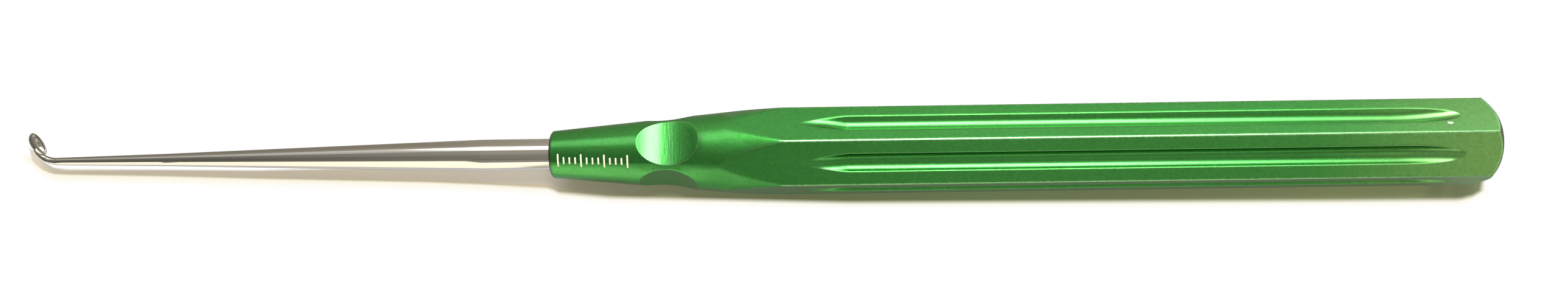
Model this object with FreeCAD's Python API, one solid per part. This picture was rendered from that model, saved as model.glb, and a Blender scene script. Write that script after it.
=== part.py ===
# Cervical curette, in millimetres.
# A fluted hexagonal handle with a turned nose holds a steel shaft, which tapers to a fine neck,
# bends sideways and ends in a small spoon cup.
# +X runs from the cup to the butt of the handle and +Z is up. The tool lies on one flat of the
# handle, at z = 0, and the cup turns towards +Y. The origin is under the middle of its length.
import FreeCAD, Part

import math
import os

from FreeCAD import Vector

# Hexagonal bar of the handle
across_flats = 12.7
flat_count = 6
ridge_radius = 0.25
handle_length = 148.7

# Nose, turned as a plain cone that runs out into the flats
nose_radius = 3.75
nose_half_angle = 5.46
nose_edge = 0.3

# Butt, turned to a short cone that leaves an arc on each flat
butt_face_radius = 6.15
butt_half_angle = 45.0

# Thumb scallops round the nose, cut with a round cutter lying across the handle
scallop_count = 4
scallop_first_angle = 38.5
scallop_from_nose = 18.1
scallop_cutter_radius = 9.5
scallop_depth = 1.33

# One ball-nosed flute along each flat. It dips in along an arc that leaves the flat tangent, and it
# climbs out along another.
flute_cutter_radius = 1.55
flute_depth = 1.07
flute_from_nose = 47.2
flute_entry_length = 9.1
flute_entry_clearance = 0.01
flute_from_butt = 15.9
flute_runout_radius = 46.0
flute_exit_height = 0.4

# Drilled seat of the shaft in the nose, with a bonded joint
bond_gap = 0.03
tang_length = 26.0
tang_chamfer = 0.6
bore_end_gap = 1.0
drill_point_angle = 118.0

# Shaft: straight ahead of the nose, then a long taper, then a fine neck
shaft_diameter = 5.1
collar_length = 11.0
taper_length = 50.6
neck_diameter = 2.0
neck_length = 17.76
bend_start_diameter = 1.18

# Bend of the neck, in the plane parallel to the table
bend_radius = 3.32
bend_angle = 67.4
bend_end_diameter = 0.7

# Spoon cup, half an ellipsoid. Its rim lies in one plane beside the neck, its heel sits on the
# bend, and the neck runs out as a ridge in the floor of the cup.
cup_length = 3.8
cup_width = 2.2
cup_depth = 1.11
cup_rim_height = 0.99
cup_heel_overlap = 1.27
cup_rim_wall = 0.12
cup_floor_wall = 0.28
neck_tip_diameter = 0.2

# Spare length of a cutter past the surface that it leaves
cutter_overrun = 2.0

# Worked out from the sizes above. The handle's mouth is at x = 0 until the last step.
corner_radius = across_flats / 2 / math.cos(math.pi / flat_count)
envelope_radius = corner_radius + cutter_overrun
nose_slope = math.tan(math.radians(nose_half_angle))
bore_radius = shaft_diameter / 2 + bond_gap
neck_end_x = -(collar_length + taper_length + neck_length)
axis_origin = Vector(0, 0, 0)
axis_x = Vector(1, 0, 0)
axis_y = Vector(0, 1, 0)
axis_z = Vector(0, 0, 1)


# A solid turned about the tool's axis from points (x, radius).
def turned(points):
    corners = [Vector(x, 0, radius) for x, radius in points]
    outline = Part.makePolygon(corners + [corners[0]])
    return Part.Face(outline).revolve(axis_origin, axis_x, 360)


# The same cutter set round the axis, first at an angle from straight up towards +Y.
def set_round(cutter, count, first_angle):
    copies = []
    for step in range(count):
        copy = cutter.copy()
        copy.rotate(axis_origin, axis_x, -(first_angle + 360.0 * step / count))
        copies.append(copy)
    return copies


# Hexagonal bar with two flats level and its long ridges slightly broken.
def hexagonal_bar():
    corners = []
    for step in range(flat_count):
        angle = math.radians(360.0 * (step + 0.5) / flat_count)
        corners.append(Vector(0, corner_radius * math.sin(angle), corner_radius * math.cos(angle)))
    outline = Part.makePolygon(corners + [corners[0]])
    bar = Part.Face(outline).extrude(Vector(handle_length, 0, 0))
    ridges = [edge for edge in bar.Edges if edge.Length > handle_length - ridge_radius]
    return bar.makeFillet(ridge_radius, ridges)


# What the lathe leaves of the bar: the nose cone at one end and the cone of the butt at the other.
def turned_envelope():
    cone_length = (envelope_radius - nose_radius) / nose_slope
    butt_cone = (envelope_radius - butt_face_radius) / math.tan(math.radians(butt_half_angle))
    return turned([
        (0, 0),
        (0, nose_radius - nose_edge),
        (nose_edge, nose_radius + nose_edge * nose_slope),
        (cone_length, envelope_radius),
        (handle_length - butt_cone, envelope_radius),
        (handle_length, butt_face_radius),
        (handle_length, 0),
    ])


# Drilled seat: the tang, a little room past it and the drill's point.
def shaft_seat():
    depth = tang_length + bore_end_gap
    point = bore_radius / math.tan(math.radians(drill_point_angle / 2))
    return turned([
        (-cutter_overrun, 0),
        (-cutter_overrun, bore_radius),
        (depth, bore_radius),
        (depth + point, 0),
    ])


# Cutter of one thumb scallop, above the axis.
def scallop_cutter():
    surface = nose_radius + scallop_from_nose * nose_slope
    height = surface - scallop_depth + scallop_cutter_radius
    start = Vector(scallop_from_nose, -envelope_radius, height)
    return Part.makeCylinder(scallop_cutter_radius, 2 * envelope_radius, start, axis_y)


# A round section of the flute swept from a point about a centre above or below it, in degrees.
def swept_section(start, centre_height, sweep):
    section = Part.Face(Part.Wire(Part.makeCircle(flute_cutter_radius, start, axis_x)))
    return section.revolve(start + Vector(0, 0, centre_height), axis_y, sweep)


# Cutter of the flute on the top flat: a ball-nosed path that dips in, runs level and climbs out.
def flute_cutter():
    level = across_flats / 2 - flute_depth + flute_cutter_radius
    level_start = Vector(flute_from_nose, 0, level)
    level_end = Vector(handle_length - flute_from_butt, 0, level)
    drop = flute_depth + flute_entry_clearance
    entry_radius = (flute_entry_length ** 2 + drop ** 2) / (2 * drop)
    entry_sweep = math.degrees(math.asin(flute_entry_length / entry_radius))
    entry_start = level_start + Vector(-flute_entry_length, 0, drop)
    lift = flute_depth + flute_exit_height
    exit_sweep = math.degrees(math.acos(1 - lift / flute_runout_radius))
    entry = swept_section(entry_start, -entry_radius, entry_sweep)
    ball = Part.makeSphere(flute_cutter_radius, level_start)
    run = Part.makeCylinder(
        flute_cutter_radius, (level_end - level_start).Length, level_start, axis_x)
    runout = swept_section(level_end, flute_runout_radius, -exit_sweep)
    return run.fuse([entry, ball, runout]).removeSplitter()


def make_handle():
    body = hexagonal_bar().common(turned_envelope())
    body = body.cut(set_round(scallop_cutter(), scallop_count, scallop_first_angle))
    body = body.cut(set_round(flute_cutter(), flat_count, 0.0))
    return body.cut(shaft_seat())


# Straight part of the shaft, from the tang's chamfered end to the start of the bend.
def straight_shaft():
    radius = shaft_diameter / 2
    return turned([
        (tang_length, 0),
        (tang_length, radius - tang_chamfer),
        (tang_length - tang_chamfer, radius),
        (-collar_length, radius),
        (-collar_length - taper_length, neck_diameter / 2),
        (neck_end_x, bend_start_diameter / 2),
        (neck_end_x, 0),
    ])


# Bent neck: a round section that slims down along the arc.
def bent_neck():
    turning_point = Vector(neck_end_x, bend_radius, 0)
    turn = math.radians(bend_angle)
    along = Vector(-math.cos(turn), math.sin(turn), 0)
    half_turn = turn / 2
    start = Vector(neck_end_x, 0, 0)
    middle = turning_point + Vector(-math.sin(half_turn), -math.cos(half_turn), 0) * bend_radius
    end = turning_point + Vector(-math.sin(turn), -math.cos(turn), 0) * bend_radius
    path = Part.Wire(Part.Arc(start, middle, end).toShape())
    first = Part.Wire(Part.makeCircle(bend_start_diameter / 2, start, axis_x))
    last = Part.Wire(Part.makeCircle(bend_end_diameter / 2, end, along))
    return path.makePipeShell([first, last], True, False), end


# An ellipsoid about the middle of the rim, or only its half behind the rim. The neck ends at the
# origin, running along +X, and the cup opens to -Y.
def cup_form(half_length, depth, half_width, top_latitude):
    ball = Part.makeSphere(1, axis_origin, -axis_y, -90, top_latitude)
    stretch = FreeCAD.Matrix()
    stretch.scale(half_length, depth, half_width)
    form = ball.transformGeometry(stretch)
    form.translate(Vector(cup_length / 2 - cup_heel_overlap, -cup_rim_height, 0))
    return form


# Last of the neck: it slims down into the floor of the cup.
def neck_tip():
    floor_middle = cup_depth - cup_rim_height - cup_floor_wall / 2
    end = Vector(cup_length / 2 - cup_heel_overlap, floor_middle, 0)
    return Part.makeCone(bend_end_diameter / 2, neck_tip_diameter / 2, end.Length, axis_origin, end)


def make_shaft():
    neck, neck_end = bent_neck()
    outside = cup_form(cup_length / 2, cup_depth, cup_width / 2, 0)
    hollow = cup_form(
        cup_length / 2 - cup_rim_wall,
        cup_depth - cup_floor_wall,
        cup_width / 2 - cup_rim_wall,
        90,
    )
    tip = neck_tip()
    for form in (outside, hollow, tip):
        form.rotate(axis_origin, axis_z, 180 - bend_angle)
        form.translate(neck_end)
    return straight_shaft().fuse([neck, tip, outside]).cut(hollow)


# The tool is moved so that its origin is under the middle of its length, at the resting flat.
def main():
    parts = {"handle": make_handle(), "curette_shaft": make_shaft()}
    cup_end = parts["curette_shaft"].optimalBoundingBox().XMin
    middle = (handle_length + cup_end) / 2
    os.makedirs("parts", exist_ok=True)
    for name, shape in parts.items():
        shape.translate(Vector(-middle, 0, across_flats / 2))
        shape.exportStep("parts/" + name + ".step")


main()
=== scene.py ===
import bmesh
import bpy
import math
from mathutils import Matrix, Vector


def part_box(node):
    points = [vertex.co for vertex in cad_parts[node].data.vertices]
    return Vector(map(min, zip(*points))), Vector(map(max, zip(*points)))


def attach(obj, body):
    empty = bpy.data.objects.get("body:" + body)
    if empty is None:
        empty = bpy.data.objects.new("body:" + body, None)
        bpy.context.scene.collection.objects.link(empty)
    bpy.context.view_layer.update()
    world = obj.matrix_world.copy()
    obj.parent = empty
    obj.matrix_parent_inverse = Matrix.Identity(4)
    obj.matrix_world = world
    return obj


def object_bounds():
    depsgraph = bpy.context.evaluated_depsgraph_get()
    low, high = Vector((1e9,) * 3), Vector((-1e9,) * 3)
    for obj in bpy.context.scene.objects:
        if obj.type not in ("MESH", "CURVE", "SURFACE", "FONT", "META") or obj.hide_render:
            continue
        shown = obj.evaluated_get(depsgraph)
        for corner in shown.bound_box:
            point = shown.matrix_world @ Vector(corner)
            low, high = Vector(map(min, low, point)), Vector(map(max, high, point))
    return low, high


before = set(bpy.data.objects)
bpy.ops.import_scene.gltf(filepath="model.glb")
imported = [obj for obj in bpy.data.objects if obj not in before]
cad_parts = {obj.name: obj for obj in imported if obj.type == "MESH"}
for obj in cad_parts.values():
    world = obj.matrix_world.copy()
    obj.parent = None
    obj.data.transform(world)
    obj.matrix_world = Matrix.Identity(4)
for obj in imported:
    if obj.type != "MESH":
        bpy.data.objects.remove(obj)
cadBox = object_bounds()
print("stage: frame loaded,", sorted(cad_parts))

mm = 0.001
scene = bpy.context.scene
scene.view_settings.view_transform = "Standard"


# adds one node, sets its values and links its sockets
def addNode(tree, kind, inputs=None, **settings):
    node = tree.nodes.new(kind)
    for name, value in settings.items():
        setattr(node, name, value)
    for socket, value in (inputs or {}).items():
        if isinstance(value, bpy.types.NodeSocket):
            tree.links.new(value, node.inputs[socket])
        else:
            node.inputs[socket].default_value = value
    return node


# an sRGB hex colour as the linear RGBA that the shaders take
def linear(hexColour):
    channels = [int(hexColour[i:i + 2], 16) / 255 for i in (1, 3, 5)]
    return [c / 12.92 if c <= 0.04045 else ((c + 0.055) / 1.055) ** 2.4 for c in channels] + [1.0]


def newMaterial(name):
    material = bpy.data.materials.new(name)
    material.use_nodes = True
    material.node_tree.nodes.clear()
    return material, material.node_tree


# a colour ramp over a value: stops are pairs of the value and a linear RGB colour
def rampOver(tree, value, stops, interpolation="LINEAR"):
    first, last = stops[0][0], stops[-1][0]
    position = addNode(tree, "ShaderNodeMapRange", {"Value": value, "From Min": first, "From Max": last})
    ramp = addNode(tree, "ShaderNodeValToRGB", {0: position.outputs["Result"]})
    ramp.color_ramp.interpolation = interpolation
    elements = ramp.color_ramp.elements
    while len(elements) < len(stops):
        elements.new(0.5)
    for element, (at, colour) in zip(elements, stops):
        element.position = (at - first) / (last - first)
        element.color = list(colour[:3]) + [1]
    return ramp.outputs["Color"]


# the same for plain numbers, along the tool in mm or over another value
def numberAlong(tree, x, stops, unit=mm):
    least = min(number for _, number in stops)
    span = max(number for _, number in stops) - least
    colour = rampOver(tree, x, [(at * unit, [(number - least) / span] * 3) for at, number in stops])
    return addNode(tree, "ShaderNodeMath", {0: colour, 1: span, 2: least}, operation="MULTIPLY_ADD").outputs[0]


# camera: close above the tool, leaning towards its upper side, as the photograph was taken
cameraLook = {
    "tilt": 17.2,               # degrees from straight down
    "roll": -0.8,               # degrees
    "distance": 186.0,          # mm from the handle's axis
    "lens": 26.65,              # mm
    "sensorWidth": 36.0,        # mm
    "nearestSeen": 5.0,         # mm from the lens
    "aimFromButt": 111.61,      # mm from the butt end back to the point aimed at
    "aimShift": 1.34,           # mm towards the top of the picture
    "axisHeight": 6.35,         # mm, the handle's axis above the table
}


def makeCamera():
    look = cameraLook
    tilt = math.radians(look["tilt"])
    roll = math.radians(look["roll"])
    right = Vector((1, 0, 0))
    up = Vector((0, math.cos(tilt), -math.sin(tilt)))
    back = Vector((0, math.sin(tilt), math.cos(tilt)))
    aimX = cadBox[1].x - look["aimFromButt"] * mm
    aim = Vector((aimX, 0, look["axisHeight"] * mm)) + up * look["aimShift"] * mm
    place = aim + back * look["distance"] * mm
    turnedRight = right * math.cos(roll) + up * math.sin(roll)
    turnedUp = up * math.cos(roll) - right * math.sin(roll)
    data = bpy.data.cameras.new("photoCamera")
    data.sensor_width = look["sensorWidth"]
    data.lens = look["lens"]
    data.clip_start = look["nearestSeen"] * mm
    camera = bpy.data.objects.new("photoCamera", data)
    axes = Matrix((turnedRight, turnedUp, back)).transposed().to_4x4()
    camera.matrix_world = Matrix.Translation(place) @ axes
    scene.collection.objects.link(camera)
    scene.camera = camera


makeCamera()
print("stage: camera placed")


# stage: a white card, one small lamp overhead, soft panels on both long sides and at the butt's
# end, and a dim ceiling
stageLook = {
    "floorSize": 1.6,           # m
    "grain": (0.5, 2.0, 0.05),  # size in mm, detail and depth of the card's grain, coarser than real pulp
    # along the tool, in mm: the card's colour in the shadow strip, which is painted shade that deepens the shadow,
    # with a painted green cast for light thrown off the handle beside it
    "paintedShadowCard": ((-122, "#C4B8A0"), (-80, "#C4B8A0"), (-38, "#CDBC9C"), (-30, "#B8B297"),
                   (-12, "#98A074"), (5, "#8A965E"), (36, "#93AA74"), (66, "#A1AD7E"),
                   (97, "#B2BE92"), (111, "#B0BB92"), (117, "#7C8465"), (122, "#7C8465")),
    # The card shows in its painted shadow tone in the strip of the shadow and turns to plain white
    # beside it. These are the strip's sides, laid along the cast shadow's edges, so the mask draws part
    # of the shadow's outline; places along and across the tool in mm.
    "nearEdge": ((-121, -0.7), (-120.2, -1.9), (-119.5, -2.8), (-118.8, -3.4), (-117.3, -3.9),
                 (-115, -4.05), (-101, -4.5), (-84, -5.2), (-55, -6.2), (-39, -7.1), (-35, -7.3),
                 (-34, -8.1), (-25, -9.1), (15, -10.6), (98, -11.5), (118, -11.6), (120.5, -10.9),
                 (122, -9.5)),
    "farEdge": ((-121, 0.4), (-120.2, -0.1), (-119.5, -1.2), (-118.8, -2.3), (-117.3, -3.4),
                (-115, -3.75), (-101, -4.0), (-84, -4.4), (-62, -4.3), (-46, -2.5), (-34, -2.0),
                (-33.4, 0.4), (-24, 1.2), (-16, 1.8), (-8, 2.8), (0, 3.6), (114, 3.6), (117, 1.5),
                (119, -3.0), (122, -5.0)),
    "stripEnds": (-120.2, 120.8),   # mm along the tool
    # mm from the strip's side to plain white, which softens the shadow's drawn outline
    "edgeFade": ((-122, 0.55), (-46, 0.7), (-30, 1.2), (122, 1.2)),
    # the least share of painted white in the strip, which lightens the shadow where it is thin
    "paintedShadowLift": ((-122, 0.35), (-115, 0.12), (-80, 0.12), (-50, 0.22), (-36, 0.27), (-31, 0.05),
                   (122, 0.0)),
    "edgeTint": "#FCF6DF",      # painted cream half shadow on the near side, which turns to plain white
    "paintedCreamFade": 2.2,        # mm from the strip
    # painted reflection: the card's colour as the metal mirrors it, without the handle's green, darker towards the
    # tip to dim the shaft's mirrored bands
    "paintedReflectionCard": ((-122, "#86827A"), (-60, "#8A867C"), (-38, "#A09C92"), (-22, "#A8A49C"),
                   (122, "#A8A49C")),
    # painted reflection: mm from the tool's axis, where the card as the metal mirrors it starts to turn
    # white and is white, and the share of that white along the tool, which grows towards the butt and
    # brightens the handle there: first on the near side, then on both
    "nearMirrorWhite": (3, 12),     # under the shaft: a painted white that the steel's lower side mirrors
    "nearPaintedReflectionShare": ((-122, 0.7), (-38, 0.7), (-28, 0.0), (122, 0.0)),
    "mirrorWhite": (8, 50),
    "paintedReflectionShare": ((-122, 0.08), (-35, 0.1), (-10, 0.28), (4, 0.32), (90, 0.48), (116, 0.57),
                    (128, 0.66), (145, 0.95)),
    "lamp": ((13, 166, 258), (10, 0, 6), 60, 0.5),      # place, aim and width in mm, power in W
    # middle, point that it faces, width and height in mm, brightness, colour
    "panels": {
        "farEndPanel": ((-425, 500, 200), (-425, 0, 200), 350, 350, 0.3, "#FFFFFF"),
        "farLeftPanel": ((-185, 500, 225), (-185, 0, 225), 130, 300, 1.4, "#FFFFFF"),
        "farWindow": ((110, 500, 320), (110, 0, 320), 280, 330, 11.0, "#FFFFFF"),
        "farRightWindow": ((315, 500, 320), (315, 0, 320), 130, 330, 4.0, "#FFFFFF"),
        "farPanel": ((90, 500, 90), (90, 0, 90), 220, 130, 1.5, "#FFFFFF"),
        "farRightPanel": ((375, 500, 90), (375, 0, 90), 350, 130, 2.8, "#FFFFFF"),
        "nearLeftPanel": ((-450, -500, 355), (-450, 0, 355), 600, 690, 1.45, "#FFFBE6"),
        "nearMiddlePanel": ((-85, -500, 210), (-85, 0, 210), 130, 380, 0.5, "#FFFBE6"),
        "nearPanel": ((190, -500, 210), (190, 0, 210), 420, 380, 0.8, "#FFFBE6"),
        "rightPanel": ((420, -60, 350), (0, 0, 50), 300, 300, 0.6, "#FFE6CC"),
    },
    # across the ceiling from the near side to the far side: degrees from straight up, brightness
    "ceiling": ((-90, 0.14), (-60, 0.29), (-36, 0.31), (-24, 0.42), (-4, 0.42), (8, 0.3), (38, 0.45),
                (60, 0.45), (74, 0.7), (90, 0.7)),
    "ceilingTint": (1.0, 0.97, 0.84),
    # along the tool: sine of the angle from straight up, share of that brightness
    "ceilingAlong": ((-0.5, 0.45), (-0.28, 1.0), (0.02, 1.0), (0.12, 1.3), (0.33, 1.3), (0.4, 1.05),
                     (0.47, 0.8)),
    "dimPatch": (-16, -12, 22, 0.5),    # degrees along and across, its radius, and how dark
}


def aimedLight(name, place, target, data, mirrored=True):
    light = bpy.data.objects.new(name, data)
    place = Vector(place) * mm
    direction = Vector(target) * mm - place
    light.location = place
    light.rotation_euler = direction.to_track_quat("-Z", "Y").to_euler()
    light.visible_camera = False
    light.visible_glossy = mirrored
    scene.collection.objects.link(light)


def makeLights():
    place, target, width, power = stageLook["lamp"]
    data = bpy.data.lights.new("nearLamp", "AREA")
    data.shape = "DISK"
    data.size = width * mm
    data.energy = power
    aimedLight("nearLamp", place, target, data, mirrored=False)
    for name, (middle, target, width, height, level, tint) in stageLook["panels"].items():
        data = bpy.data.lights.new(name, "AREA")
        data.shape = "RECTANGLE"
        data.size = width * mm
        data.size_y = height * mm
        data.energy = math.pi * data.size * data.size_y * level
        data.color = linear(tint)[:3]
        aimedLight(name, middle, target, data)


# the ceiling's light: a ramp from the near side to the far side and one along the tool, with one
# dimmer patch, and plain white to the camera
def makeCeiling():
    look = stageLook
    world = bpy.data.worlds.new("ceilingLight")
    world.use_nodes = True
    tree = world.node_tree
    tree.nodes.clear()
    direction = addNode(tree, "ShaderNodeSeparateXYZ", {0: addNode(tree, "ShaderNodeTexCoord").outputs["Generated"]})
    across = addNode(tree, "ShaderNodeMath", {0: direction.outputs["Y"], 1: direction.outputs["Z"]},
                     operation="ARCTAN2")
    along = addNode(tree, "ShaderNodeMath", {0: direction.outputs["X"], 1: direction.outputs["Z"]},
                    operation="ARCTAN2")
    stops = [(math.radians(angle), [value * channel for channel in look["ceilingTint"]])
             for angle, value in look["ceiling"]]
    glow = rampOver(tree, across.outputs[0], stops, "EASE")
    patchAlong, patchAcross, patchRadius, patchDepth = look["dimPatch"]
    offAlong = addNode(tree, "ShaderNodeMath", {0: along.outputs[0], 1: math.radians(patchAlong)},
                       operation="SUBTRACT")
    offAcross = addNode(tree, "ShaderNodeMath", {0: across.outputs[0], 1: math.radians(patchAcross)},
                        operation="SUBTRACT")
    off = addNode(tree, "ShaderNodeCombineXYZ", {0: offAlong.outputs[0], 1: offAcross.outputs[0]})
    far = addNode(tree, "ShaderNodeVectorMath", {0: off.outputs[0]}, operation="LENGTH")
    level = addNode(tree, "ShaderNodeMapRange", {
        "Value": far.outputs["Value"], "From Max": math.radians(patchRadius), "To Min": 1 - patchDepth},
        interpolation_type="SMOOTHSTEP")
    lengthLevel = numberAlong(tree, direction.outputs["X"], look["ceilingAlong"], 1)
    strength = addNode(tree, "ShaderNodeMath", {0: level.outputs["Result"], 1: lengthLevel},
                       operation="MULTIPLY")
    dim = addNode(tree, "ShaderNodeBackground", {"Color": glow, "Strength": strength.outputs[0]})
    white = addNode(tree, "ShaderNodeBackground", {"Color": (1, 1, 1, 1), "Strength": 1.0})
    path = addNode(tree, "ShaderNodeLightPath")
    mixed = addNode(tree, "ShaderNodeMixShader",
                    {0: path.outputs["Is Camera Ray"], 1: dim.outputs[0], 2: white.outputs[0]})
    addNode(tree, "ShaderNodeOutputWorld", {"Surface": mixed.outputs[0]})
    scene.world = world


# White card: pressed and uncoated, so it is matt, with a faint grain. It keeps the tool's shadow,
# and away from the shadow it is plain white to the camera. In the shadow strip its colour is painted
# shade, darker and greener beside the handle, and the metal mirrors a separate painted reflection tone.
def whiteCard():
    look = stageLook
    material, tree = newMaterial("whiteCard")
    place = addNode(tree, "ShaderNodeTexCoord").outputs["Object"]
    parts = addNode(tree, "ShaderNodeSeparateXYZ", {0: place})
    x, y = parts.outputs["X"], parts.outputs["Y"]
    path = addNode(tree, "ShaderNodeLightPath")

    # the card, in a painted shadow tone to the camera and a painted reflection tone to the metal that mirrors it
    grainSize, grainDetail, grainDepth = look["grain"]
    grain = addNode(tree, "ShaderNodeTexNoise",
                    {"Vector": place, "Scale": 1 / (grainSize * mm), "Detail": grainDetail})
    tone = addNode(tree, "ShaderNodeMapRange", {
        "Value": grain.outputs["Fac"], "To Min": 1 - grainDepth, "To Max": 1 + grainDepth})
    colour = rampOver(tree, x, [(at * mm, linear(hexColour)) for at, hexColour in look["paintedShadowCard"]])
    paintedReflectionColour = rampOver(tree, x, [(at * mm, linear(hexColour)) for at, hexColour in look["paintedReflectionCard"]])
    asSeen = addNode(tree, "ShaderNodeMix", {"Factor": path.outputs["Is Camera Ray"],
                                             "A": paintedReflectionColour, "B": colour}, data_type="RGBA")
    toned = addNode(tree, "ShaderNodeMix", {"Factor": 1.0, "A": asSeen.outputs["Result"],
                                            "B": tone.outputs["Result"]}, data_type="RGBA", blend_type="MULTIPLY")
    card = addNode(tree, "ShaderNodeBsdfDiffuse", {"Color": toned.outputs["Result"]})

    # how far outside the strip a point is, in mm, at its sides and ends
    flat = addNode(tree, "ShaderNodeMath", {0: y, 1: 1 / mm}, operation="MULTIPLY")
    pastFar = addNode(tree, "ShaderNodeMath", {0: flat.outputs[0], 1: numberAlong(tree, x, look["farEdge"])},
                      operation="SUBTRACT")
    pastNear = addNode(tree, "ShaderNodeMath", {0: numberAlong(tree, x, look["nearEdge"]), 1: flat.outputs[0]},
                       operation="SUBTRACT")
    left, right = look["stripEnds"]
    fromMiddle = addNode(tree, "ShaderNodeMath", {0: x, 1: (left + right) / 2 * mm}, operation="SUBTRACT")
    awayAlong = addNode(tree, "ShaderNodeMath", {0: fromMiddle.outputs[0]}, operation="ABSOLUTE")
    pastEnd = addNode(tree, "ShaderNodeMath", {0: awayAlong.outputs[0], 1: 1 / mm, 2: (left - right) / 2},
                      operation="MULTIPLY_ADD")
    pastSide = addNode(tree, "ShaderNodeMath", {0: pastFar.outputs[0], 1: pastNear.outputs[0]}, operation="MAXIMUM")
    past = addNode(tree, "ShaderNodeMath", {0: pastSide.outputs[0], 1: pastEnd.outputs[0]}, operation="MAXIMUM")

    # the share of white to the camera, with painted white that lightens the shadow where it is thin
    beside = addNode(tree, "ShaderNodeMapRange", {
        "Value": past.outputs[0], "From Max": numberAlong(tree, x, look["edgeFade"])},
        interpolation_type="SMOOTHSTEP")
    seenWhite = addNode(tree, "ShaderNodeMath", {
        0: beside.outputs["Result"], 1: numberAlong(tree, x, look["paintedShadowLift"])}, operation="MAXIMUM")
    seen = addNode(tree, "ShaderNodeMath", {0: path.outputs["Is Camera Ray"], 1: seenWhite.outputs[0]},
                   operation="MULTIPLY")

    # the share of white that metal and glass show, a painted reflection graded along the tool
    fromAxis = addNode(tree, "ShaderNodeMath", {0: y}, operation="ABSOLUTE")
    mirrorStart, mirrorEnd = look["mirrorWhite"]
    mirrorWhite = addNode(tree, "ShaderNodeMapRange", {
        "Value": fromAxis.outputs[0], "From Min": mirrorStart * mm, "From Max": mirrorEnd * mm},
        interpolation_type="SMOOTHSTEP")
    bothSides = addNode(tree, "ShaderNodeMath", {
        0: mirrorWhite.outputs["Result"], 1: numberAlong(tree, x, look["paintedReflectionShare"])}, operation="MULTIPLY")
    nearStart, nearEnd = look["nearMirrorWhite"]
    nearWhite = addNode(tree, "ShaderNodeMapRange", {
        "Value": y, "From Min": -nearStart * mm, "From Max": -nearEnd * mm,
        "To Max": numberAlong(tree, x, look["nearPaintedReflectionShare"])}, interpolation_type="SMOOTHSTEP")
    paintedReflectionShare = addNode(tree, "ShaderNodeMath", {0: bothSides.outputs[0], 1: nearWhite.outputs["Result"]},
                          operation="MAXIMUM")
    bounced = addNode(tree, "ShaderNodeMath", {
        0: path.outputs["Is Glossy Ray"], 1: path.outputs["Is Transmission Ray"]}, operation="MAXIMUM")
    mirrored = addNode(tree, "ShaderNodeMath", {0: bounced.outputs[0], 1: paintedReflectionShare.outputs[0]},
                       operation="MULTIPLY")

    # the white, with a painted cream half shadow next to the strip
    nearOrEnd = addNode(tree, "ShaderNodeMath", {0: pastNear.outputs[0], 1: pastEnd.outputs[0]}, operation="MAXIMUM")
    untinted = addNode(tree, "ShaderNodeMapRange", {"Value": nearOrEnd.outputs[0], "From Max": look["paintedCreamFade"]},
                       interpolation_type="SMOOTHSTEP")
    inside = addNode(tree, "ShaderNodeMath", {0: pastNear.outputs[0], 1: 0.0}, operation="LESS_THAN")
    plain = addNode(tree, "ShaderNodeMath", {0: untinted.outputs["Result"], 1: inside.outputs[0]},
                    operation="MAXIMUM")
    besideColour = addNode(tree, "ShaderNodeMix", {"Factor": plain.outputs[0], "A": linear(look["edgeTint"]),
                                                   "B": (1, 1, 1, 1)}, data_type="RGBA")
    white = addNode(tree, "ShaderNodeEmission", {"Color": besideColour.outputs["Result"], "Strength": 1.0})
    share = addNode(tree, "ShaderNodeMath", {0: seen.outputs[0], 1: mirrored.outputs[0]}, operation="MAXIMUM")
    both = addNode(tree, "ShaderNodeMixShader", {0: share.outputs[0], 1: card.outputs[0], 2: white.outputs[0]})
    addNode(tree, "ShaderNodeOutputMaterial", {"Surface": both.outputs[0]})
    return material


def makeFloor():
    half = stageLook["floorSize"] / 2
    mesh = bpy.data.meshes.new("floor")
    corners = [(-half, -half, 0), (half, -half, 0), (half, half, 0), (-half, half, 0)]
    mesh.from_pydata(corners, [], [(0, 1, 2, 3)])
    floor = bpy.data.objects.new("floor", mesh)
    scene.collection.objects.link(floor)
    mesh.materials.append(whiteCard())


makeFloor()
makeLights()
makeCeiling()
print("stage: floor and lights placed")


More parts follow.
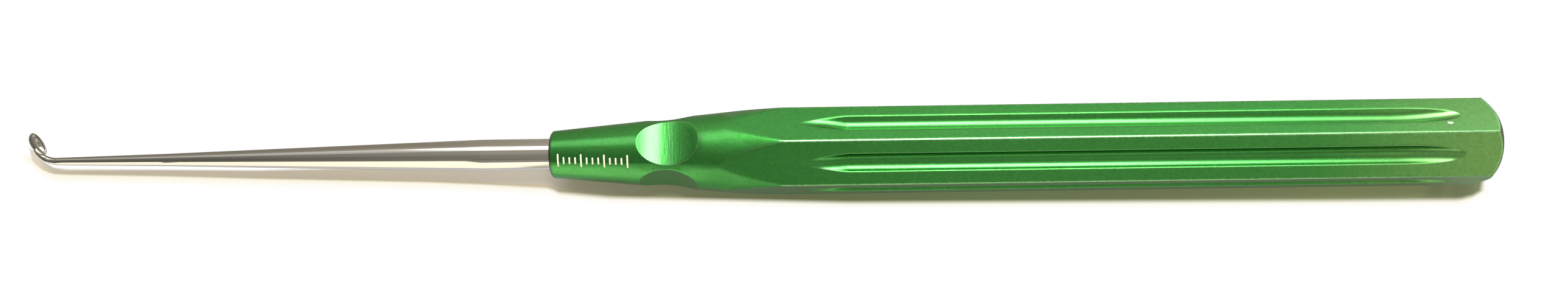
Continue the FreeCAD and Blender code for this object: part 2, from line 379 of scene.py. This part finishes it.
# Anodised aluminium: bar milled and turned, etched to a fine satin, dyed green and sealed.
# The metal under the dye mirrors the room in green, and the sealed oxide over it adds a thin
# white gloss that grows towards the edges of the view.
handleLook = {
    # the dye
    "green": "#2F9530",
    "blueGreen": "#3A9E3E",
    "paintedButtSheen": "#6BAA55",         # paler and whiter towards the butt: a painted sheen for the gloss seen there
    "paintedSheenSpan": (84.0, 118.0),  # mm along the tool, where the painted sheen starts and is full
    "edgeTint": "#5FB062",      # the dye darkens the metal's mirror at a low angle
    "cloud": (9.0, 2.0),        # mm and detail, uneven dye
    "speckle": (0.5, 3.0, 0.7),     # mm, detail and roughness, light and dark spots, coarser than real
    "noiseSpan": (0.3, 0.7),    # most of the noise lies between these
    "spotTone": (0.84, 1.14),   # brightness of the darkest and the lightest spots
    # worn and dark places
    "rubbed": "#8CCB86",        # dye rubbed thin on ridges and lips, pale enough to be also a painted highlight line along them
    "rubbedFrom": (7.19, 7.29),     # mm from the handle's axis, where the rubbing starts and is full
    "rubbedRagged": 0.12,       # mm, how much the speckle moves that
    "darkEdgeGreen": "#123A1A",      # dark green on the broken edge round the mouth and past the butt's rim
    "mouth": (-32.3, -32.55),   # mm along the tool, from the plain dye to the dark edge
    # mm, place along the tool plus distance from its axis: the butt's broken edge, where the dye is
    # worn, and the little cone past it, which is drawn dark
    "rim": (121.6, 121.85),
    "buttDark": (121.9, 121.97),
    # the wear on sharp lips: its reach in mm, how far the surface turns within that where the wear
    # starts and where it is full, and the most that it rubs off; the pale lips are also a painted highlight
    "lipWear": (0.22, 0.012, 0.09, 0.85),
    "lipChalk": 0.5,            # how much less metallic a worn lip is
    # the metal and the oxide over it
    "metallic": 0.95,
    "roughness": (0.27, 0.31),  # least and most, along the drawing lines
    "coat": (0.8, 0.22, 1.6),   # weight, roughness and IOR
    "grain": (0.16, 3.0),       # mm and detail, the etched grain, drawn coarser than the real few hundredths
    "grainBump": (0.25, 0.01),  # strength, and depth in mm
    "streak": (14.0, 0.35, 2.0),    # mm, length and width of the bar's drawing lines, coarser than real; detail
    "streakBump": (0.12, 0.01),
    # lip radius along the tool: wide where the cone runs out softly into the flats
    "lips": ((-34, 0.25), (-13, 0.25), (-9, 2.2), (-3, 2.2), (4, 0.5), (104, 0.5), (110, 0.3), (116, 0.3)),
    "lipSamples": (8, 6),       # for the lips' shape and for their wear
    # the scallops, found by their depth under the nose's cone
    "cone": (3.75, 5.46),       # mm, radius at the mouth; degrees, slope
    "coneFrom": -32.65,         # mm along the tool, a little short of the mouth, so that the nose stays clear
    "scallopSpan": (-19.8, -9.4),   # mm along the tool
    "scallopDepth": (0.02, 0.12),   # mm, where the cutter's marks start and are full
    "cutterMark": (0.16, 3.0, 2.0),     # mm, width and length of the marks, coarser than real; detail
    "cutterDepth": 0.035,       # mm
    # a small knock on the upper flat
    "nick": (107.74, 4.64, 11.01),  # mm
    "nickSize": (0.95, 0.32),   # mm, length and width
    "nickRim": (1.6, 1.3),      # half lengths from its middle, where the bare metal starts and is full
    "nickRoughness": 0.6,
    "bare": "#E4F2DA",          # metal shining through where the dye is knocked off
}


def anodisedAluminium():
    look = handleLook
    material, tree = newMaterial("anodisedAluminium")
    place = addNode(tree, "ShaderNodeTexCoord").outputs["Object"]
    along = addNode(tree, "ShaderNodeSeparateXYZ", {0: place})
    fromAxis = addNode(tree, "ShaderNodeVectorMath", {0: place, 1: (0, 0, cameraLook["axisHeight"] * mm)},
                       operation="SUBTRACT")
    section = addNode(tree, "ShaderNodeVectorMath", {0: fromAxis.outputs[0], 1: (0, 1 / mm, 1 / mm)},
                      operation="MULTIPLY")
    radius = addNode(tree, "ShaderNodeVectorMath", {0: section.outputs[0]}, operation="LENGTH")
    cloudSize, cloudDetail = look["cloud"]
    cloud = addNode(tree, "ShaderNodeTexNoise",
                    {"Vector": place, "Scale": 1 / (cloudSize * mm), "Detail": cloudDetail})
    spotSize, spotDetail, spotRoughness = look["speckle"]
    speckle = addNode(tree, "ShaderNodeTexNoise", {
        "Vector": place, "Scale": 1 / (spotSize * mm), "Detail": spotDetail, "Roughness": spotRoughness})
    grainSize, grainDetail = look["grain"]
    grain = addNode(tree, "ShaderNodeTexNoise",
                    {"Vector": place, "Scale": 1 / (grainSize * mm), "Detail": grainDetail})
    length, width, streakDetail = look["streak"]
    drawn = addNode(tree, "ShaderNodeMapping", {
        "Vector": place, "Scale": (1 / (length * mm), 1 / (width * mm), 1 / (width * mm))})
    streak = addNode(tree, "ShaderNodeTexNoise", {"Vector": drawn.outputs[0], "Scale": 1.0, "Detail": streakDetail})
    noiseLow, noiseHigh = look["noiseSpan"]

    dye = addNode(tree, "ShaderNodeMix", {"Factor": cloud.outputs["Fac"], "A": linear(look["green"]),
                                          "B": linear(look["blueGreen"])}, data_type="RGBA")
    # painted sheen: the dye turns paler and whiter towards the butt
    fadeStart, fadeFull = look["paintedSheenSpan"]
    fade = addNode(tree, "ShaderNodeMapRange", {
        "Value": along.outputs["X"], "From Min": fadeStart * mm, "From Max": fadeFull * mm},
        interpolation_type="SMOOTHSTEP")
    dyeAndPaintedSheen = addNode(tree, "ShaderNodeMix", {"Factor": fade.outputs["Result"], "A": dye.outputs["Result"],
                                           "B": linear(look["paintedButtSheen"])}, data_type="RGBA")
    # the broken edge round the mouth
    mouthStart, mouthFull = look["mouth"]
    mouth = addNode(tree, "ShaderNodeMapRange", {"Value": along.outputs["X"], "From Min": mouthStart * mm,
                                                 "From Max": mouthFull * mm})
    edged = addNode(tree, "ShaderNodeMix", {"Factor": mouth.outputs["Result"], "A": dyeAndPaintedSheen.outputs["Result"],
                                            "B": linear(look["darkEdgeGreen"])}, data_type="RGBA")
    # the long ridges: farthest from the axis, with a ragged edge to the wear; the pale line is edge wear and a
    # painted highlight along each ridge
    ragged = look["rubbedRagged"]
    wear = addNode(tree, "ShaderNodeMath", {0: speckle.outputs["Fac"], 1: ragged, 2: -ragged / 2},
                   operation="MULTIPLY_ADD")
    worn = addNode(tree, "ShaderNodeMath", {0: radius.outputs["Value"], 1: wear.outputs[0]}, operation="ADD")
    rubbedStart, rubbedFull = look["rubbedFrom"]
    ridge = addNode(tree, "ShaderNodeMapRange", {"Value": worn.outputs[0], "From Min": rubbedStart,
                                                 "From Max": rubbedFull}, interpolation_type="SMOOTHSTEP")
    rubbed = addNode(tree, "ShaderNodeMix", {"Factor": ridge.outputs["Result"], "A": edged.outputs["Result"],
                                             "B": linear(look["rubbed"])}, data_type="RGBA")
    # the butt's broken edge: a worn line, and dark green on the little cone past it
    alongAndOut = addNode(tree, "ShaderNodeMath", {0: along.outputs["X"], 1: 1 / mm, 2: radius.outputs["Value"]},
                          operation="MULTIPLY_ADD")
    rimStart, rimFull = look["rim"]
    rim = addNode(tree, "ShaderNodeMapRange", {"Value": alongAndOut.outputs[0], "From Min": rimStart,
                                               "From Max": rimFull})
    rimmed = addNode(tree, "ShaderNodeMix", {"Factor": rim.outputs["Result"], "A": rubbed.outputs["Result"],
                                             "B": linear(look["rubbed"])}, data_type="RGBA")
    darkStart, darkFull = look["buttDark"]
    dark = addNode(tree, "ShaderNodeMapRange", {"Value": alongAndOut.outputs[0], "From Min": darkStart,
                                                "From Max": darkFull})
    ended = addNode(tree, "ShaderNodeMix", {"Factor": dark.outputs["Result"], "A": rimmed.outputs["Result"],
                                            "B": linear(look["darkEdgeGreen"])}, data_type="RGBA")
    # the lips of the flutes and scallops, where the dye is rubbed too, which also paints a highlight line along each
    # lip
    lipSamples, wearSamples = look["lipSamples"]
    wearReach, turnLeast, turnFull, wearShare = look["lipWear"]
    rounded = addNode(tree, "ShaderNodeBevel", {"Radius": wearReach * mm}, samples=wearSamples)
    flatNormal = addNode(tree, "ShaderNodeNewGeometry").outputs["Normal"]
    facing = addNode(tree, "ShaderNodeVectorMath", {0: rounded.outputs[0], 1: flatNormal}, operation="DOT_PRODUCT")
    turned = addNode(tree, "ShaderNodeMath", {0: 1.0, 1: facing.outputs["Value"]}, operation="SUBTRACT")
    lipWorn = addNode(tree, "ShaderNodeMapRange", {"Value": turned.outputs[0], "From Min": turnLeast,
                                                   "From Max": turnFull, "To Max": wearShare})
    lipped = addNode(tree, "ShaderNodeMix", {"Factor": lipWorn.outputs["Result"], "A": ended.outputs["Result"],
                                             "B": linear(look["rubbed"])}, data_type="RGBA")
    spotDark, spotLight = look["spotTone"]
    spots = addNode(tree, "ShaderNodeMapRange", {
        "Value": speckle.outputs["Fac"], "From Min": noiseLow, "From Max": noiseHigh,
        "To Min": spotDark, "To Max": spotLight})
    spotted = addNode(tree, "ShaderNodeMix", {"Factor": 1.0, "A": lipped.outputs["Result"],
                                              "B": spots.outputs["Result"]},
                      data_type="RGBA", blend_type="MULTIPLY")

    # the nick: an oblong spot with a ragged rim
    fromNick = addNode(tree, "ShaderNodeVectorMath", {0: place, 1: tuple(v * mm for v in look["nick"])},
                       operation="SUBTRACT")
    nickLength, nickWidth = look["nickSize"]
    squeezed = addNode(tree, "ShaderNodeVectorMath", {0: fromNick.outputs[0], 1: (
        1 / (nickLength / 2 * mm), 1 / (nickWidth / 2 * mm), 1 / (nickWidth * mm))}, operation="MULTIPLY")
    reach = addNode(tree, "ShaderNodeVectorMath", {0: squeezed.outputs[0]}, operation="LENGTH")
    nickReach = addNode(tree, "ShaderNodeMath", {0: reach.outputs["Value"], 1: grain.outputs["Fac"]}, operation="ADD")
    nickStart, nickFull = look["nickRim"]
    nick = addNode(tree, "ShaderNodeMapRange", {"Value": nickReach.outputs[0], "From Min": nickStart,
                                                "From Max": nickFull})
    colour = addNode(tree, "ShaderNodeMix", {"Factor": nick.outputs["Result"], "A": spotted.outputs["Result"],
                                             "B": linear(look["bare"])}, data_type="RGBA")
    smoothest, roughest = look["roughness"]
    uneven = addNode(tree, "ShaderNodeMapRange", {
        "Value": streak.outputs["Fac"], "From Min": noiseLow, "From Max": noiseHigh,
        "To Min": smoothest, "To Max": roughest})
    rough = addNode(tree, "ShaderNodeMix", {
        "Factor": nick.outputs["Result"], "A": uneven.outputs["Result"], "B": look["nickRoughness"]})

    # soft lips, then the drawing lines and the etched grain
    lipRadius = addNode(tree, "ShaderNodeMath", {
        0: numberAlong(tree, along.outputs["X"], look["lips"]), 1: mm}, operation="MULTIPLY")
    lip = addNode(tree, "ShaderNodeBevel", {"Radius": lipRadius.outputs[0]}, samples=lipSamples)
    streakStrength, streakDepth = look["streakBump"]
    lines = addNode(tree, "ShaderNodeBump", {"Height": streak.outputs["Fac"], "Strength": streakStrength,
                                             "Distance": streakDepth * mm, "Normal": lip.outputs[0]})
    grainStrength, grainDepth = look["grainBump"]
    satin = addNode(tree, "ShaderNodeBump", {"Height": grain.outputs["Fac"], "Strength": grainStrength,
                                             "Distance": grainDepth * mm, "Normal": lines.outputs[0]})
    # the scallops: below the cone, with the marks of the cutter that lay across the handle
    coneRadius, coneSlope = look["cone"]
    slope = math.tan(math.radians(coneSlope))
    cone = addNode(tree, "ShaderNodeMath", {
        0: along.outputs["X"], 1: slope / mm, 2: coneRadius - look["coneFrom"] * slope}, operation="MULTIPLY_ADD")
    below = addNode(tree, "ShaderNodeMath", {0: cone.outputs[0], 1: radius.outputs["Value"]}, operation="SUBTRACT")
    shallow, deep = look["scallopDepth"]
    hollow = addNode(tree, "ShaderNodeMapRange", {"Value": below.outputs[0], "From Min": shallow, "From Max": deep})
    spanStart, spanEnd = look["scallopSpan"]
    inSpan = addNode(tree, "ShaderNodeMath", {0: along.outputs["X"], 1: (spanStart + spanEnd) / 2 * mm,
                                              2: (spanEnd - spanStart) / 2 * mm}, operation="COMPARE")
    cut = addNode(tree, "ShaderNodeMath", {0: hollow.outputs["Result"], 1: inSpan.outputs[0]}, operation="MULTIPLY")
    markWidth, markLength, markDetail = look["cutterMark"]
    crossed = addNode(tree, "ShaderNodeMapping", {
        "Vector": place, "Scale": (1 / (markWidth * mm), 1 / (markLength * mm), 1 / (markLength * mm))})
    marks = addNode(tree, "ShaderNodeTexNoise", {"Vector": crossed.outputs[0], "Scale": 1.0, "Detail": markDetail})
    milled = addNode(tree, "ShaderNodeBump", {"Height": marks.outputs["Fac"], "Strength": cut.outputs[0],
                                              "Distance": look["cutterDepth"] * mm, "Normal": satin.outputs[0]})
    # rubbed lips are chalkier than the rest
    shine = addNode(tree, "ShaderNodeMath", {0: lipWorn.outputs["Result"], 1: -look["lipChalk"],
                                             2: look["metallic"]}, operation="MULTIPLY_ADD")
    coatWeight, coatRoughness, coatIOR = look["coat"]
    metal = addNode(tree, "ShaderNodeBsdfPrincipled", {
        "Base Color": colour.outputs["Result"], "Metallic": shine.outputs[0], "Roughness": rough.outputs["Result"],
        "Specular Tint": linear(look["edgeTint"]), "Coat Weight": coatWeight, "Coat Roughness": coatRoughness,
        "Coat IOR": coatIOR, "Normal": milled.outputs[0]})
    addNode(tree, "ShaderNodeOutputMaterial", {"Surface": metal.outputs[0]})
    return material


# Polished stainless steel: drawn rod, ground along its taper and buffed bright. It mirrors the
# room as sharp lines along the rod, and the fine buffing lines vary its gloss.
steelLook = {
    "steel": "#D2CEC8",
    "roughness": (0.06, 0.13),  # least and most, along the buffing lines
    "lines": (0.06, 6.0, 3.0),  # per mm along and across the shaft, coarser than real; detail
}


def polishedStainless():
    look = steelLook
    material, tree = newMaterial("polishedStainless")
    place = addNode(tree, "ShaderNodeTexCoord").outputs["Object"]
    linesAlong, linesAcross, lineDetail = look["lines"]
    stretch = addNode(tree, "ShaderNodeMapping", {
        "Vector": place, "Scale": (linesAlong / mm, linesAcross / mm, linesAcross / mm)})
    lines = addNode(tree, "ShaderNodeTexNoise", {"Vector": stretch.outputs[0], "Scale": 1.0, "Detail": lineDetail})
    smoothest, roughest = look["roughness"]
    rough = addNode(tree, "ShaderNodeMapRange", {
        "Value": lines.outputs["Fac"], "To Min": smoothest, "To Max": roughest})
    metal = addNode(tree, "ShaderNodeBsdfPrincipled", {
        "Base Color": linear(look["steel"]), "Metallic": 1.0, "Roughness": rough.outputs["Result"]})
    addNode(tree, "ShaderNodeOutputMaterial", {"Surface": metal.outputs[0]})
    return material


def dressNode(name, material):
    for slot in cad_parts[name].material_slots:
        slot.material = material


dressNode("handle", anodisedAluminium())
dressNode("curette_shaft", polishedStainless())
print("stage: materials on handle and shaft")

# Marks on the nose: a plain row of laser-etched ticks, which bleach the dye to cream.
tickLook = {
    "count": 13,
    "spacing": 0.92,            # mm
    "fromMouth": 1.55,          # mm, first tick from the handle's mouth
    "width": 0.26,              # mm
    "shortLength": 1.15,        # mm
    "longLength": 2.1,          # mm
    "longEvery": 4,
    "shift": 0.25,              # mm, round the nose towards the upper side
    "proud": 0.012,             # mm above the dyed surface
    "sunk": 0.05,               # mm below it, so that every stroke is a closed solid
    "endSteps": 4,
    "middleSteps": 10,
    "leastHalf": 0.012,         # mm, half the width left at a stroke's tip
    "cream": "#EDE9CF",
    "worn": "#C9D2A8",
    "wornSpan": (0.45, 0.75),   # of the speckle, where the wear starts and is full
    "speckle": (0.12, 2.0),     # mm and detail, coarser than real
    "speckleBump": (0.3, 0.01),     # strength, and depth in mm
    "roughness": 0.75,
    "oxideIOR": 1.6,
}


# one stroke with round ends, laid round the nose cone as a closed strip of short pieces
def tickStroke(mesh, startX, length):
    look = tickLook
    radius = look["width"] / 2
    reach = length / 2 - radius
    rows = []
    for step in range(look["endSteps"] + 1):
        angle = math.pi / 2 * step / look["endSteps"]
        rows.append((-reach - radius * math.cos(angle), radius * math.sin(angle)))
    for step in range(1, look["middleSteps"]):
        rows.append((-reach + 2 * reach * step / look["middleSteps"], radius))
    for step in range(look["endSteps"] + 1):
        angle = math.pi / 2 * step / look["endSteps"]
        rows.append((reach + radius * math.sin(angle), radius * math.cos(angle)))
    coneRadius, coneSlope = handleLook["cone"]
    slope = math.tan(math.radians(coneSlope))
    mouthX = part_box("handle")[0].x
    axisHeight = cameraLook["axisHeight"]

    def onCone(along, aside, height):
        surface = coneRadius + along * slope
        turn = (aside + look["shift"]) / surface
        out = surface + height
        return mesh.verts.new((mouthX + along * mm, out * math.sin(turn) * mm,
                               (axisHeight + out * math.cos(turn)) * mm))

    sections = []
    for aside, half in rows:
        half = max(half, look["leastHalf"])
        sections.append([onCone(startX - half, aside, look["proud"]), onCone(startX + half, aside, look["proud"]),
                         onCone(startX + half, aside, -look["sunk"]), onCone(startX - half, aside, -look["sunk"])])
    for one, two in zip(sections, sections[1:]):
        for i in range(4):
            j = (i + 1) % 4
            mesh.faces.new((one[i], one[j], two[j], two[i]))
    mesh.faces.new(list(reversed(sections[0])))
    mesh.faces.new(sections[-1])


# Etched oxide: the laser bleaches the dye and roughens the oxide to a chalky cream.
def etchedOxide():
    look = tickLook
    material, tree = newMaterial("etchedOxide")
    place = addNode(tree, "ShaderNodeTexCoord").outputs["Object"]
    speckleSize, speckleDetail = look["speckle"]
    speckle = addNode(tree, "ShaderNodeTexNoise",
                      {"Vector": place, "Scale": 1 / (speckleSize * mm), "Detail": speckleDetail})
    wornStart, wornFull = look["wornSpan"]
    uneven = addNode(tree, "ShaderNodeMapRange", {"Value": speckle.outputs["Fac"], "From Min": wornStart,
                                                  "From Max": wornFull})
    colour = addNode(tree, "ShaderNodeMix", {"Factor": uneven.outputs["Result"], "A": linear(look["cream"]),
                                             "B": linear(look["worn"])}, data_type="RGBA")
    bumpStrength, bumpDepth = look["speckleBump"]
    bump = addNode(tree, "ShaderNodeBump", {"Height": speckle.outputs["Fac"], "Strength": bumpStrength,
                                            "Distance": bumpDepth * mm})
    chalk = addNode(tree, "ShaderNodeBsdfPrincipled", {
        "Base Color": colour.outputs["Result"], "Roughness": look["roughness"], "IOR": look["oxideIOR"],
        "Normal": bump.outputs[0]})
    addNode(tree, "ShaderNodeOutputMaterial", {"Surface": chalk.outputs[0]})
    return material


def makeTicks():
    look = tickLook
    mesh = bmesh.new()
    for step in range(look["count"]):
        length = look["shortLength"] if step % look["longEvery"] else look["longLength"]
        tickStroke(mesh, look["fromMouth"] + step * look["spacing"], length)
    bmesh.ops.recalc_face_normals(mesh, faces=mesh.faces)
    data = bpy.data.meshes.new("noseTicks")
    mesh.to_mesh(data)
    mesh.free()
    data.materials.append(etchedOxide())
    ticks = bpy.data.objects.new("noseTicks", data)
    scene.collection.objects.link(ticks)
    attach(ticks, "root")


makeTicks()
print("stage: tick marks on the nose")

bpy.context.view_layer.update()
